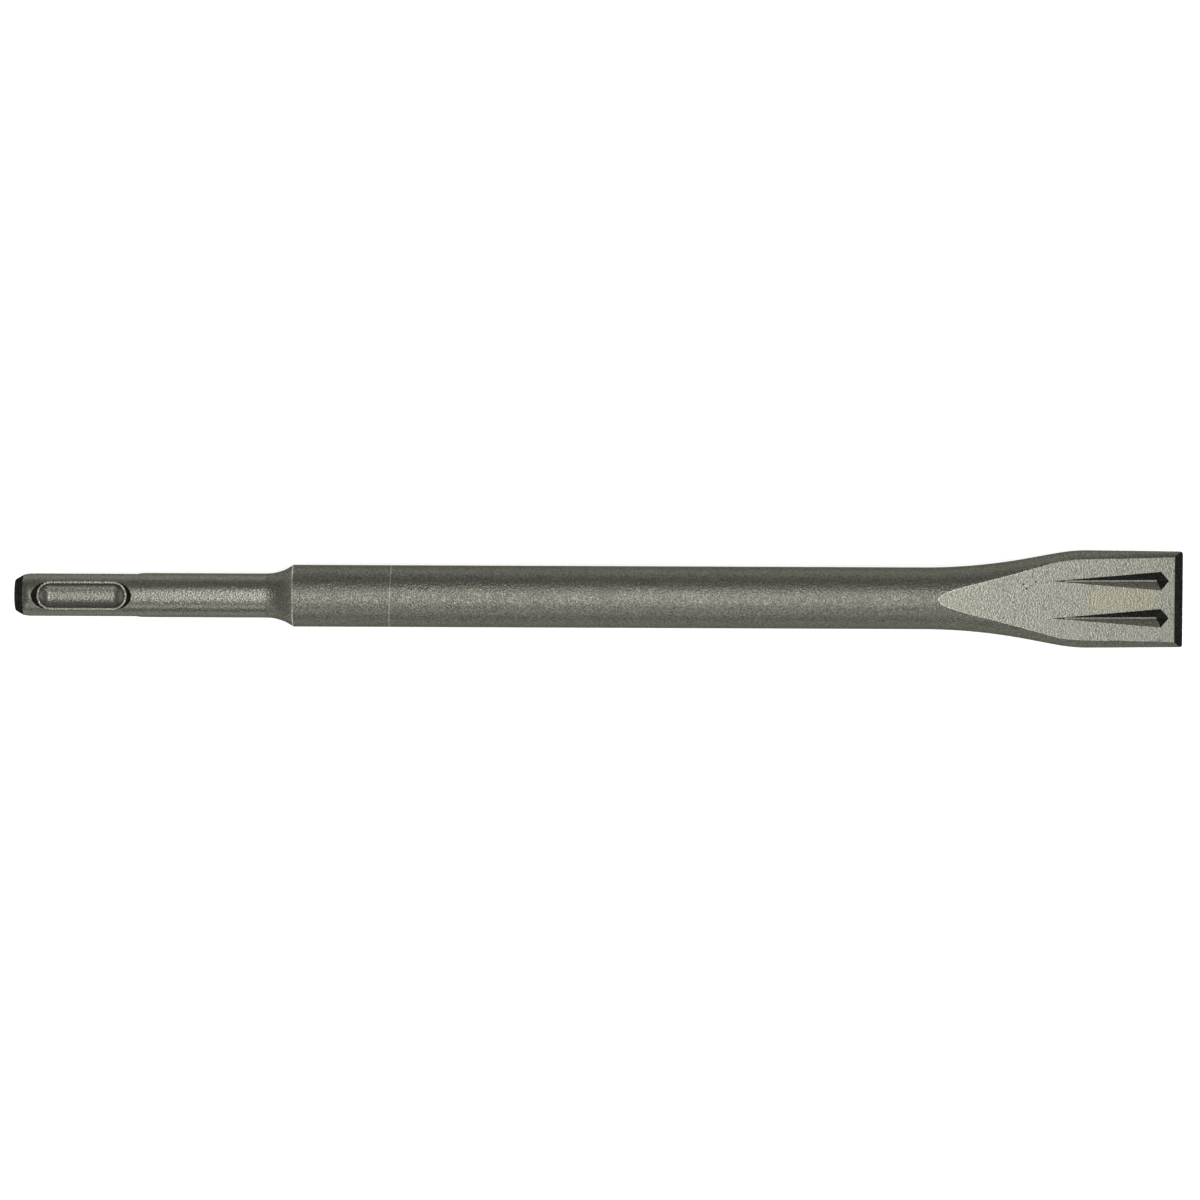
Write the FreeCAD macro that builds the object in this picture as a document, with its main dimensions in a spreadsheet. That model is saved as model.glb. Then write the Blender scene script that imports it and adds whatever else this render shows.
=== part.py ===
import FreeCAD, Part
import math
import os
import Sketcher

# Flat chisel for a rotary hammer, forged and machined from one round bar.
# The tool's axis is X: the struck end face is at the origin and the cutting edge points to +X.
# Z stands square to the blade's flat faces and Y runs across the blade.
# Lengths are in millimetres and angles in degrees.

Vector = FreeCAD.Vector

NODE = "flat_chisel"

SIZES = [
    ("overall_length", 264.0, "end face to cutting edge"),
    ("shank_diameter", 10.0, "plain part of the shank"),
    ("shank_length", 56.7, "end face to the start of the collar fillet"),
    ("body_diameter", 14.0, "round bar between collar and blade"),
    ("collar_radius", 10.3, "concave fillet from shank to body"),
    ("collar_rounding", 0.5, "rounding on the collar's front crest"),
    ("end_face_diameter", 7.6, "struck face, measured to the chamfer"),
    ("end_chamfer_length", 1.95, "chamfer behind the struck face"),
    ("end_lead_length", 1.25, "shallow taper from chamfer to full shank"),
    ("end_lead_drop", 0.18, "how far the taper falls below the shank"),
    ("end_rounding", 0.8, "rounding round the struck face"),
    ("keyway_width", 3.3, "open driving slot, wall to wall"),
    ("keyway_depth", 1.87, "open driving slot, below the shank"),
    ("keyway_length", 29.6, "end face to where the slot has run out"),
    ("keyway_runout", 8.0, "S-shaped rise of the slot's floor"),
    ("pocket_start", 5.1, "end face to the locking pocket's rim"),
    ("pocket_length", 20.3, "locking pocket's rim, end to end"),
    ("pocket_width", 6.4, "locking pocket's rim, side to side"),
    ("pocket_draft", 45.0, "slope of the walls round the rim"),
    ("channel_radius", 3.6, "ball channel inside the rim"),
    ("channel_depth", 2.5, "ball channel's floor below the shank"),
    ("blade_width", 22.08, "widest part of the blade"),
    ("edge_width", 21.7, "blade at the cutting edge"),
    ("parallel_length", 21.6, "cutting edge back to the end of the shoulder"),
    ("flare_angle", 10.5, "straight part of the flare, to the axis"),
    ("neck_radius", 130.0, "concave start of the flare"),
    ("shoulder_radius", 38.0, "convex end of the flare"),
    ("neck_thinning", 0.1, "how far the neck's middle draws in above and below"),
    ("shoulder_height", 14.8, "full height of the flanks' oval at the shoulder"),
    ("edge_height", 6.0, "full height of the flanks' oval at the edge"),
    ("face_length", 56.1, "cutting edge back to the tip of the flat face"),
    ("bevel_length", 2.1, "ground bevel behind the cutting edge"),
    ("bevel_height", 3.2, "blade thickness where the bevel starts"),
    ("edge_land", 0.3, "thickness of the cutting edge itself"),
    ("corner_rounding", 0.7, "cutting edge's two corners, in plan"),
    ("groove_spacing", 8.4, "between the two V grooves' centre lines"),
    ("groove_length", 26.8, "V groove, tip to nose"),
    ("groove_width", 4.2, "V groove at its widest"),
    ("groove_nose", 1.8, "widest part to the nose"),
    ("groove_toe", 2.7, "deepest point to the nose"),
    ("groove_setback", 1.2, "nose to the bevel's crease"),
    ("groove_depth", 1.3, "V groove at its deepest"),
    ("groove_floor_width", 0.35, "narrow flat along the V's bottom"),
    ("groove_floor_drop", 0.06, "narrow flat below the V's bottom"),
]

SHANK_R = "dims.shank_diameter / 2"
BODY_R = "dims.body_diameter / 2"
STEP = "(dims.body_diameter - dims.shank_diameter) / 2"
COLLAR_X = f"dims.shank_length + sqrt(2 * dims.collar_radius * {STEP} - ({STEP})^2)"

# Plan of the flare: neck arc, straight run and shoulder arc, each tangent to the next.
# The neck arc is held to most of what the blade's width leaves for it.
WIDE_X = "dims.overall_length - dims.parallel_length"
RISE = "(dims.blade_width - dims.body_diameter) / 2"
VERSINE = "(1 - cos(dims.flare_angle))"
ARC_SHARE = 0.95
NECK_R = f"min(dims.neck_radius; {ARC_SHARE} * {RISE} / {VERSINE} - dims.shoulder_radius)"
STRAIGHT = f"(({RISE}) - ({NECK_R} + dims.shoulder_radius) * {VERSINE}) / sin(dims.flare_angle)"
SHOULDER_X = f"{WIDE_X} - dims.shoulder_radius * sin(dims.flare_angle)"
FLARE_X = f"{SHOULDER_X} - {STRAIGHT} * cos(dims.flare_angle)"
NECK_X = f"{FLARE_X} - {NECK_R} * sin(dims.flare_angle)"

# Side view of the blade: the flat face falls in one straight line to the bevel's crease.
# The cut that makes it starts a little behind the face's tip.
BEVEL_X = "dims.overall_length - dims.bevel_length"
FACE_FALL = "((dims.body_diameter - dims.bevel_height) / 2)"
FACE_RUN = "(dims.face_length - dims.bevel_length)"
FACE_SLOPE = f"{FACE_FALL} / {FACE_RUN}"
FACE_OVERRUN = 1.4
DEEP_X = f"{BEVEL_X} - dims.groove_setback - dims.groove_toe"
TIP_X = f"{BEVEL_X} - dims.groove_setback - dims.groove_length"


def face_height(x):
    return f"dims.bevel_height / 2 + ({BEVEL_X} - ({x})) * {FACE_SLOPE}"


def size_sheet(doc):
    sheet = doc.addObject("Spreadsheet::Sheet", "dims")
    for row, (alias, size, note) in enumerate(SIZES, start=1):
        sheet.set(f"A{row}", alias)
        sheet.set(f"B{row}", str(size))
        sheet.set(f"C{row}", note)
        sheet.setAlias(f"B{row}", alias)
    doc.recompute()


def number(owner, expression):
    found = owner.evalExpression(expression)
    return float(getattr(found, "Value", found))


def new_sketch(body, name, role):
    plane = [item for item in body.Origin.OriginFeatures if item.Role == role][0]
    sketch = body.newObject("Sketcher::SketchObject", name)
    sketch.AttachmentSupport = (plane, [""])
    sketch.MapMode = "FlatFace"
    return sketch


def bind(sketch, constraint, expression):
    index = sketch.addConstraint(constraint)
    sketch.setExpression(f"Constraints[{index}]", expression)


def pin(sketch, edge, end, x, y):
    """Holds one point of an edge at a place given by two expressions."""
    if x == "0":
        sketch.addConstraint(Sketcher.Constraint("PointOnObject", edge, end, -2))
    else:
        bind(sketch, Sketcher.Constraint("DistanceX", -1, 1, edge, end, number(sketch, x)), x)
    if y == "0":
        sketch.addConstraint(Sketcher.Constraint("PointOnObject", edge, end, -1))
    else:
        bind(sketch, Sketcher.Constraint("DistanceY", -1, 1, edge, end, number(sketch, y)), y)


def arc_between(start, end, radius, side):
    """Short arc from start to end with its centre to the left (1) or right (-1) of the way."""
    chord = end.sub(start)
    half = chord.Length / 2
    across = Vector(-chord.y, chord.x, 0).normalize()
    centre = start.add(chord.multiply(0.5)).add(across * (side * math.sqrt(radius**2 - half**2)))
    first, last = (start, end) if side > 0 else (end, start)
    begin = math.atan2(first.y - centre.y, first.x - centre.x)
    finish = math.atan2(last.y - centre.y, last.x - centre.x)
    if finish < begin:
        finish += 2 * math.pi
    return Part.ArcOfCircle(Part.Circle(centre, Vector(0, 0, 1), radius), begin, finish)


def outline(sketch, corners, arcs=None):
    """Closed outline through corners given as expressions; arcs maps an edge to (radius, side)."""
    arcs = arcs or {}
    places = [Vector(number(sketch, x), number(sketch, y), 0) for x, y in corners]
    count = len(corners)
    starts = []
    for i, place in enumerate(places):
        following = places[(i + 1) % count]
        if i in arcs:
            radius, side = arcs[i]
            sketch.addGeometry(arc_between(place, following, number(sketch, radius), side), False)
            starts.append(1 if side > 0 else 2)
        else:
            sketch.addGeometry(Part.LineSegment(place, following), False)
            starts.append(1)
    for i in range(count):
        following = (i + 1) % count
        joint = Sketcher.Constraint("Coincident", i, 3 - starts[i], following, starts[following])
        sketch.addConstraint(joint)
    for i, (x, y) in enumerate(corners):
        pin(sketch, i, starts[i], x, y)
    for i, (radius, side) in arcs.items():
        bind(sketch, Sketcher.Constraint("Radius", i, number(sketch, radius)), radius)


def pocket(body, name, sketch, width):
    """Cuts the sketch evenly to both sides of its plane over the given width."""
    cut = body.newObject("PartDesign::Pocket", name)
    cut.Profile = sketch
    cut.Type = "Length"
    cut.SideType = "Symmetric"
    cut.setExpression("Length", width)
    return cut


def mirrored(body, name, features, role):
    plane = [item for item in body.Origin.OriginFeatures if item.Role == role][0]
    copy = body.newObject("PartDesign::Mirrored", name)
    copy.Originals = features
    copy.MirrorPlane = (plane, [""])
    body.Tip = copy
    return copy


def round_bar(body):
    """Struck end, shank, collar and body, turned about the axis."""
    sketch = new_sketch(body, "bar_profile", "XZ_Plane")
    corners = [
        ("0", "0"),
        (NECK_X, "0"),
        (NECK_X, BODY_R),
        (COLLAR_X, BODY_R),
        ("dims.shank_length", SHANK_R),
        ("dims.end_chamfer_length + dims.end_lead_length", SHANK_R),
        ("dims.end_chamfer_length", f"{SHANK_R} - dims.end_lead_drop"),
        ("0", "dims.end_face_diameter / 2"),
    ]
    outline(sketch, corners, {3: ("dims.collar_radius", -1)})
    bar = body.newObject("PartDesign::Revolution", "bar")
    bar.Profile = sketch
    bar.ReferenceAxis = (sketch, ["H_Axis"])
    bar.Angle = 360
    return bar


def circle_edge(shape, x, radius):
    for index, edge in enumerate(shape.Edges, start=1):
        curve = edge.Curve
        if isinstance(curve, Part.Circle):
            if abs(curve.Center.x - x) < 1e-4 and abs(curve.Radius - radius) < 1e-4:
                return f"Edge{index}"
    raise RuntimeError(f"no round edge at {x}")


def rounding(body, name, base, x, radius, size):
    body.Document.recompute()
    edge = circle_edge(base.Shape, number(base, x), number(base, radius))
    fillet = body.newObject("PartDesign::Fillet", name)
    fillet.Base = (base, [edge])
    fillet.setExpression("Radius", size)
    return fillet


def place_across(section, x):
    """Stands a flat section square to the axis at the given distance from the end face."""
    turn = FreeCAD.Rotation(Vector(0, 1, 0), Vector(0, 0, 1), Vector(1, 0, 0))
    section.Placement = FreeCAD.Placement(Vector(), turn)
    section.setExpression(".Placement.Base.x", x)


def oval_section(doc, name, x, half_width, half_height):
    """One oval cross-section of the blade blank, wide along Y."""
    oval = doc.addObject("Part::Ellipse", name)
    place_across(oval, x)
    oval.setExpression("MajorRadius", half_width)
    oval.setExpression("MinorRadius", half_height)
    return oval


def neck_station(share):
    angle = f"dims.flare_angle * {share}"
    x = f"{NECK_X} + {NECK_R} * sin({angle})"
    half_width = f"{BODY_R} + {NECK_R} * (1 - cos({angle}))"
    return x, half_width


def shoulder_station(share):
    angle = f"dims.flare_angle * {share}"
    x = f"{WIDE_X} - dims.shoulder_radius * sin({angle})"
    half_width = f"dims.blade_width / 2 - dims.shoulder_radius * (1 - cos({angle}))"
    return x, half_width


def flank_height(x):
    """Half height of the oval, falling evenly from the shoulder to the edge."""
    share = f"(({x}) - ({SHOULDER_X})) / (dims.overall_length - ({SHOULDER_X}))"
    return f"(dims.shoulder_height - (dims.shoulder_height - dims.edge_height) * {share}) / 2"


def blade_blank(doc):
    """Round body spread sideways into the blade, before its faces are pressed flat."""
    neck = doc.addObject("Part::Circle", "neck_section")
    place_across(neck, NECK_X)
    neck.setExpression("Radius", BODY_R)

    sections = [neck]
    x, half_width = neck_station(0.5)
    sections.append(oval_section(doc, "neck_middle", x, half_width, f"{BODY_R} - dims.neck_thinning"))
    x, half_width = neck_station(1)
    half_height = "(dims.body_diameter + dims.shoulder_height) / 4"
    sections.append(oval_section(doc, "flare_start", x, half_width, half_height))
    for name, share in (("flare_end", 1), ("shoulder_middle", 0.5), ("shoulder_end", 0)):
        x, half_width = shoulder_station(share)
        sections.append(oval_section(doc, name, x, half_width, flank_height(x)))
    x = "dims.overall_length - dims.parallel_length / 2"
    sections.append(oval_section(doc, "blade_middle", x, "dims.blade_width / 2", flank_height(x)))
    x = "dims.overall_length"
    sections.append(oval_section(doc, "blade_end", x, "dims.edge_width / 2", flank_height(x)))

    blank = doc.addObject("Part::Loft", "blade_blank")
    blank.Sections = sections
    blank.Solid = True
    blank.MaxDegree = 2
    return blank


def flat_faces(body):
    """Both inclined faces and the ground bevels, as one side profile cut above and below."""
    over = "dims.body_diameter"
    behind = f"{BEVEL_X} - {FACE_RUN} * {FACE_OVERRUN}"
    sketch = new_sketch(body, "face_profile", "XZ_Plane")
    corners = [
        (behind, face_height(behind)),
        (BEVEL_X, "dims.bevel_height / 2"),
        ("dims.overall_length", "dims.edge_land / 2"),
        ("dims.overall_length + dims.bevel_length", "dims.edge_land / 2"),
        ("dims.overall_length + dims.bevel_length", over),
        (behind, over),
    ]
    outline(sketch, corners)
    upper = pocket(body, "upper_face", sketch, "2 * dims.blade_width")
    lower = mirrored(body, "lower_face", [upper], "XY_Plane")
    return [upper, lower]


def edge_corners(body):
    """Rounds the cutting edge's two corners in plan."""
    over = "dims.blade_width"
    side = "dims.edge_width / 2"
    inner_x = "dims.overall_length - dims.corner_rounding"
    inner_y = f"{side} - dims.corner_rounding"
    beyond = "dims.overall_length + dims.corner_rounding"
    sketch = new_sketch(body, "corner_profile", "XY_Plane")
    corners = [
        (inner_x, side),
        ("dims.overall_length", inner_y),
        (beyond, inner_y),
        (beyond, over),
        (inner_x, over),
    ]
    outline(sketch, corners, {0: ("dims.corner_rounding", -1)})
    corner = pocket(body, "left_corner", sketch, "2 * dims.body_diameter")
    other = mirrored(body, "right_corner", [corner], "XZ_Plane")
    return [corner, other]


def v_grooves(body):
    """Long pointed V grooves: a kite on the flat face drawn down to its deepest point."""
    centre = "dims.groove_spacing / 2"
    mouth = new_sketch(body, "groove_mouth", "XY_Plane")
    slope = math.degrees(math.atan(number(mouth, FACE_SLOPE)))
    mouth.AttachmentOffset = FreeCAD.Placement(Vector(), FreeCAD.Rotation(Vector(0, 1, 0), slope))
    mouth.setExpression(".AttachmentOffset.Base.x", BEVEL_X)
    mouth.setExpression(".AttachmentOffset.Base.y", centre)
    mouth.setExpression(".AttachmentOffset.Base.z", "dims.bevel_height / 2")
    mouth.setExpression(".AttachmentOffset.Rotation.Angle", f"atan({FACE_SLOPE})")
    tip = "-dims.groove_setback - dims.groove_length"
    widest = "-dims.groove_setback - dims.groove_nose"
    corners = [
        (tip, "0"),
        (widest, "-dims.groove_width / 2"),
        ("-dims.groove_setback", "0"),
        (widest, "dims.groove_width / 2"),
    ]
    outline(mouth, corners)

    deep_z = f"{face_height(DEEP_X)} - dims.groove_depth"
    deepest = new_sketch(body, "groove_deepest", "XZ_Plane")
    deepest.setExpression(".AttachmentOffset.Base.z", f"-{centre}")
    place = Vector(number(deepest, DEEP_X), number(deepest, deep_z), 0)
    deepest.addGeometry(Part.Point(place), False)
    pin(deepest, 0, 1, DEEP_X, deep_z)

    groove = body.newObject("PartDesign::SubtractiveLoft", "groove")
    groove.Profile = mouth
    groove.Sections = [(deepest, [""])]

    section = new_sketch(body, "groove_floor_profile", "XZ_Plane")
    section.setExpression(".AttachmentOffset.Base.z", f"-{centre}")
    corners = [
        (TIP_X, face_height(TIP_X)),
        (DEEP_X, f"{deep_z} - dims.groove_floor_drop"),
        (DEEP_X, face_height(DEEP_X)),
    ]
    outline(section, corners)
    floor = pocket(body, "groove_floor", section, "dims.groove_floor_width")

    planes = {item.Role: item for item in body.Origin.OriginFeatures}
    grooves = body.newObject("PartDesign::MultiTransform", "four_grooves")
    grooves.Originals = [groove, floor]
    across = body.newObject("PartDesign::Mirrored", "groove_beside")
    across.MirrorPlane = (planes["XZ_Plane"], [""])
    below = body.newObject("PartDesign::Mirrored", "grooves_under")
    below.MirrorPlane = (planes["XY_Plane"], [""])
    grooves.Transformations = [across, below]
    body.Tip = grooves
    return [groove, floor, grooves]


def locking_pockets(body):
    """Closed pocket for the chuck's locking ball: flat rim, drafted walls, ball channel."""
    rim_z = f"sqrt(({SHANK_R})^2 - (dims.pocket_width / 2)^2)"
    first = "dims.pocket_start + dims.pocket_width / 2"
    last = "dims.pocket_start + dims.pocket_length - dims.pocket_width / 2"
    rim = new_sketch(body, "pocket_rim", "XY_Plane")
    rim.setExpression(".AttachmentOffset.Base.z", rim_z)
    radius = number(rim, "dims.pocket_width / 2")
    first_centre = Vector(number(rim, first), 0, 0)
    last_centre = Vector(number(rim, last), 0, 0)
    up = Vector(0, radius, 0)
    quarter = math.pi / 2
    first_end = Part.Circle(first_centre, Vector(0, 0, 1), radius)
    last_end = Part.Circle(last_centre, Vector(0, 0, 1), radius)
    rim.addGeometry(Part.ArcOfCircle(first_end, quarter, 3 * quarter), False)
    rim.addGeometry(Part.LineSegment(first_centre.sub(up), last_centre.sub(up)), False)
    rim.addGeometry(Part.ArcOfCircle(last_end, -quarter, quarter), False)
    rim.addGeometry(Part.LineSegment(last_centre.add(up), first_centre.add(up)), False)
    for edge, following in ((0, 1), (1, 2), (2, 3), (3, 0)):
        rim.addConstraint(Sketcher.Constraint("Tangent", edge, 2, following, 1))
    pin(rim, 0, 3, first, "0")
    pin(rim, 2, 3, last, "0")
    rim.addConstraint(Sketcher.Constraint("Equal", 0, 2))
    bind(rim, Sketcher.Constraint("Radius", 0, radius), "dims.pocket_width / 2")
    seat = body.newObject("PartDesign::Pocket", "pocket_seat")
    seat.Profile = rim
    seat.Type = "Length"
    seat.Reversed = True
    seat.setExpression("Length", SHANK_R)
    seat.setExpression("TaperAngle", "dims.pocket_draft")

    profile = new_sketch(body, "channel_profile", "XZ_Plane")
    channel_axis = f"{SHANK_R} - dims.channel_depth + dims.channel_radius"
    profile.setExpression(".AttachmentOffset.Base.y", channel_axis)
    corners = [
        (f"{first} - dims.channel_radius", "0"),
        (first, "-dims.channel_radius"),
        (last, "-dims.channel_radius"),
        (f"{last} + dims.channel_radius", "0"),
    ]
    outline(profile, corners, {0: ("dims.channel_radius", 1), 2: ("dims.channel_radius", 1)})
    channel = body.newObject("PartDesign::Groove", "ball_channel")
    channel.Profile = profile
    channel.ReferenceAxis = (profile, ["H_Axis"])
    channel.Angle = 360
    opposite = mirrored(body, "opposite_pocket", [seat, channel], "XY_Plane")
    return [seat, channel, opposite]


def keyways(body):
    """Open driving slots that run out to the shank in an S-shaped rise."""
    floor = f"{SHANK_R} - dims.keyway_depth"
    clear = f"{SHANK_R} + dims.keyway_depth"
    level_end = "dims.keyway_length - dims.keyway_runout"
    middle = "dims.keyway_length - dims.keyway_runout / 2"
    bend = "(dims.keyway_runout^2 + dims.keyway_depth^2) / (4 * dims.keyway_depth)"
    sketch = new_sketch(body, "keyway_profile", "XY_Plane")
    corners = [
        ("-dims.keyway_width", floor),
        (level_end, floor),
        (middle, f"{SHANK_R} - dims.keyway_depth / 2"),
        ("dims.keyway_length", SHANK_R),
        ("dims.keyway_length", clear),
        ("-dims.keyway_width", clear),
    ]
    outline(sketch, corners, {1: (bend, 1), 2: (bend, -1)})
    slot = pocket(body, "keyway", sketch, "dims.keyway_width")
    opposite = mirrored(body, "opposite_keyway", [slot], "XZ_Plane")
    return [slot, opposite]


def check_features(doc, cuts):
    """Stops the build where a feature failed or a cut added no face."""
    for item in doc.Objects:
        if "Invalid" in item.State or "Error" in item.State:
            raise RuntimeError(f"{item.Name} failed")
    for cut in cuts:
        if len(cut.Shape.Faces) <= len(cut.BaseFeature.Shape.Faces):
            raise RuntimeError(f"{cut.Name} removes nothing")


def main():
    doc = FreeCAD.newDocument("chisel")
    size_sheet(doc)
    body = doc.addObject("PartDesign::Body", NODE)
    body.Label = NODE
    body.BaseFeature = blade_blank(doc)
    bar = round_bar(body)
    end_r = "dims.end_face_diameter / 2"
    struck_end = rounding(body, "struck_end_rounding", bar, "0", end_r, "dims.end_rounding")
    rounding(body, "collar_crest_rounding", struck_end, COLLAR_X, BODY_R, "dims.collar_rounding")
    cuts = flat_faces(body) + edge_corners(body) + v_grooves(body)
    cuts += locking_pockets(body) + keyways(body)
    body.Placement = FreeCAD.Placement()
    doc.recompute()
    check_features(doc, cuts)
    if body.Shape.isNull() or not body.Shape.isValid():
        raise RuntimeError(f"{NODE} has no valid shape")
    os.makedirs("parts", exist_ok=True)
    body.Shape.exportStep(f"parts/{NODE}.step")
    print(NODE, "volume", round(body.Shape.Volume, 1), "solids", len(body.Shape.Solids))


main()
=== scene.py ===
import math

import bmesh
import bpy
from mathutils import Matrix, Vector, noise


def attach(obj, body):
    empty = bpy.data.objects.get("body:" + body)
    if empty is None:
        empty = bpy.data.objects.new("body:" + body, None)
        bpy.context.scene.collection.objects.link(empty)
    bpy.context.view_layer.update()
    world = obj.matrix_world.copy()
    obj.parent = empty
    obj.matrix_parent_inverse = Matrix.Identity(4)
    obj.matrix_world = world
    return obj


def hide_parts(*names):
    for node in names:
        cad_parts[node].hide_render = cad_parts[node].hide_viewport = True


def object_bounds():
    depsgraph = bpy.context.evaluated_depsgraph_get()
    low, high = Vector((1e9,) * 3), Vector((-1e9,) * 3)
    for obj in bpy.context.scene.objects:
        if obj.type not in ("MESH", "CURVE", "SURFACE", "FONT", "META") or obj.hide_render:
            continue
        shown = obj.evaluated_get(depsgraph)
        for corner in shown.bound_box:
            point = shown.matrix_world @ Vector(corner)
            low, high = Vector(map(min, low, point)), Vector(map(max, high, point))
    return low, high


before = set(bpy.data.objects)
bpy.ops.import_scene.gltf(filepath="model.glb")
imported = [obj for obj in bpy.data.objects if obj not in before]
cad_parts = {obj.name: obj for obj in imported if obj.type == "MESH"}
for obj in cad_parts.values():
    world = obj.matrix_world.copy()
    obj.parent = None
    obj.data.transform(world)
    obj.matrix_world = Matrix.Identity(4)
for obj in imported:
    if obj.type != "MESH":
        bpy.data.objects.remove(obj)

# A forged flat chisel for a rotary hammer, lying on a pale table and seen from above.
# Its axis is X, the struck face is at the origin and the cutting edge points to +X.
# Lengths are in metres, as the frame gives them, and angles in radians, unless a comment says
# otherwise.

MM = 0.001
cad_low, cad_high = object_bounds()

LENGTH = cad_high.x
BODY_R = 7.0 * MM
SHANK_R = 5.0 * MM

# How finely the round forms are stepped, and where the bar's straight stretches have rings,
# in millimetres from the struck face.
TURN_STEPS = 144
ROUNDING_STEPS = 5
COLLAR_STEPS = 20
CREST_STEPS = 4
RUNOUT_STEPS = 8
POCKET_STEPS = 64
CHANNEL_STEPS = 33
BLADE_STEPS = 48
SHANK_RINGS = range(7, 56, 4)
COLLAR_RINGS = (66, 72, 78)
BODY_RINGS = range(90, 205, 6)

# Struck end, shank and collar.
END_FACE_R = 3.8 * MM
END_ROUNDING = 0.8 * MM
CHAMFER_LENGTH = 1.95 * MM
LEAD_LENGTH = 1.25 * MM
LEAD_DROP = 0.18 * MM
SHANK_LENGTH = 56.7 * MM
COLLAR_R = 10.3 * MM
COLLAR_HEIGHT = BODY_R - SHANK_R
COLLAR_X = SHANK_LENGTH + math.sqrt(2 * COLLAR_R * COLLAR_HEIGHT - COLLAR_HEIGHT**2)
CREST_R = 0.5 * MM
CREST_LEAD = 0.1 * MM
CREST_LINE = 0.2 * MM

# A faint line turned into the body, a little out of square.
WITNESS_X = 84.8 * MM
WITNESS_WIDTH = 0.20 * MM
WITNESS_DEPTH = 0.018 * MM
WITNESS_SLANT = 0.035

# Driving slots at the sides and locking pockets above and below, and how far the pockets'
# seat cutters stand clear of the shank.
KEYWAY_WIDTH = 3.3 * MM
KEYWAY_DEPTH = 1.87 * MM
KEYWAY_LENGTH = 29.6 * MM
KEYWAY_RUNOUT = 8.0 * MM
POCKET_START = 5.1 * MM
POCKET_LENGTH = 20.3 * MM
POCKET_R = 3.2 * MM
CHANNEL_R = 3.6 * MM
CHANNEL_DEPTH = 2.5 * MM
CUTTER_RISE = 0.5 * MM

# Blade in plan: a concave neck, a straight flare and a convex shoulder, then nearly parallel sides.
BLADE_HALF = 11.04 * MM
EDGE_HALF = 10.85 * MM
PARALLEL = 21.6 * MM
FLARE = math.radians(10.5)
NECK_R = 130.0 * MM
SHOULDER_R = 38.0 * MM
NECK_THINNING = 0.1 * MM
SHOULDER_HALF_HEIGHT = 7.4 * MM
EDGE_HALF_HEIGHT = 3.0 * MM
RISE = BLADE_HALF - BODY_R
STRAIGHT = (RISE - (NECK_R + SHOULDER_R) * (1 - math.cos(FLARE))) / math.sin(FLARE)
WIDE_X = LENGTH - PARALLEL
SHOULDER_X = WIDE_X - SHOULDER_R * math.sin(FLARE)
FLARE_X = SHOULDER_X - STRAIGHT * math.cos(FLARE)
NECK_X = FLARE_X - NECK_R * math.sin(FLARE)

# Side view: flat faces falling to the ground bevel, and the bevel down to the edge's land.
FACE_LENGTH = 56.1 * MM
BEVEL_LENGTH = 2.1 * MM
BEVEL_HALF = 1.6 * MM
LAND_HALF = 0.15 * MM
BEVEL_X = LENGTH - BEVEL_LENGTH
FACE_SLOPE = (BODY_R - BEVEL_HALF) / (FACE_LENGTH - BEVEL_LENGTH)
BEVEL_SLOPE = (BEVEL_HALF - LAND_HALF) / BEVEL_LENGTH

# The cutting edge's corners, rounded in plan by a cut at each of these angles in degrees.
CORNER_R = 0.7 * MM
CORNER_CUTS = (15, 38, 62, 82)

# Pointed V grooves, two on each face, and how much larger or taller their cutters are.
GROOVE_Y = 4.2 * MM
GROOVE_LENGTH = 26.8 * MM
GROOVE_HALF = 2.1 * MM
GROOVE_NOSE = 1.8 * MM
GROOVE_TOE = 2.7 * MM
GROOVE_SETBACK = 1.2 * MM
GROOVE_DEPTH = 1.3 * MM
GROOVE_FLOOR_WIDTH = 0.42 * MM
GROOVE_FLOOR_DROP = 0.06 * MM
GROOVE_FLOOR_SETBACK = 3.0 * MM
GROOVE_CUTTER_GROWTH = 1.4
FLOOR_CUTTER_RISE = 1.0 * MM
NOSE_X = BEVEL_X - GROOVE_SETBACK
DEEP_X = NOSE_X - GROOVE_TOE
TIP_X = NOSE_X - GROOVE_LENGTH

# The width of the rim round each flat face, whose bright colour is partly wear and partly a painted
# highlight, and the angle at which an edge shows as a hard corner.
RIM_WIDTH = 0.09 * MM
SHARP_ANGLE = math.radians(20)

# Points closer than SEAM after a cut, or than WELD on the turned bar, are merged. Places closer
# than NEAR count as one, and SKIN is how far off its surface the middle of a face may lie.
SEAM = 0.0005 * MM
WELD = 0.001 * MM
NEAR = 0.01 * MM
SKIN = 0.02 * MM

# Wear on the upper side: small pits in the flat face and a nick in the flank beside it.
# Each pit has its place along and across the face and its radius. The lift is the share of
# the depth by which the cutting ball's middle stands above the face, and the stretch and the
# dents are shares of the ball's radius.
PITS = [
    (227.6 * MM, 3.5 * MM, 0.24 * MM),
    (228.3 * MM, 2.6 * MM, 0.25 * MM),
    (230.4 * MM, 4.1 * MM, 0.28 * MM),
    (229.4 * MM, 3.2 * MM, 0.18 * MM),
    (222.9 * MM, 2.2 * MM, 0.20 * MM),
    (232.6 * MM, -2.2 * MM, 0.20 * MM),
]
PIT_DEPTH = 0.07 * MM
PIT_LIFT = 0.8
PIT_STRETCH = 1.25
PIT_DENTS = 0.5
PIT_DENT_RATE = 1.6
NICK_X = 231.3 * MM
NICK_Y = 7.75 * MM
NICK_R = 0.5 * MM
NICK_FORM = (1.0, 0.5, 0.45)
NICK_TURN = math.radians(-20)
NICK_LIFT = 0.08 * MM

# The cutting edge's ragged wear: its depth, the spacing of its broad waves, how often it is
# divided, and how much finer and weaker its fine waves are.
EDGE_WEAR = 0.07 * MM
EDGE_WEAR_SPACING = 0.9 * MM
EDGE_WEAR_CUTS = 90
FINE_WEAR_RATE = 3
FINE_WEAR_SHARE = 0.35
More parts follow.
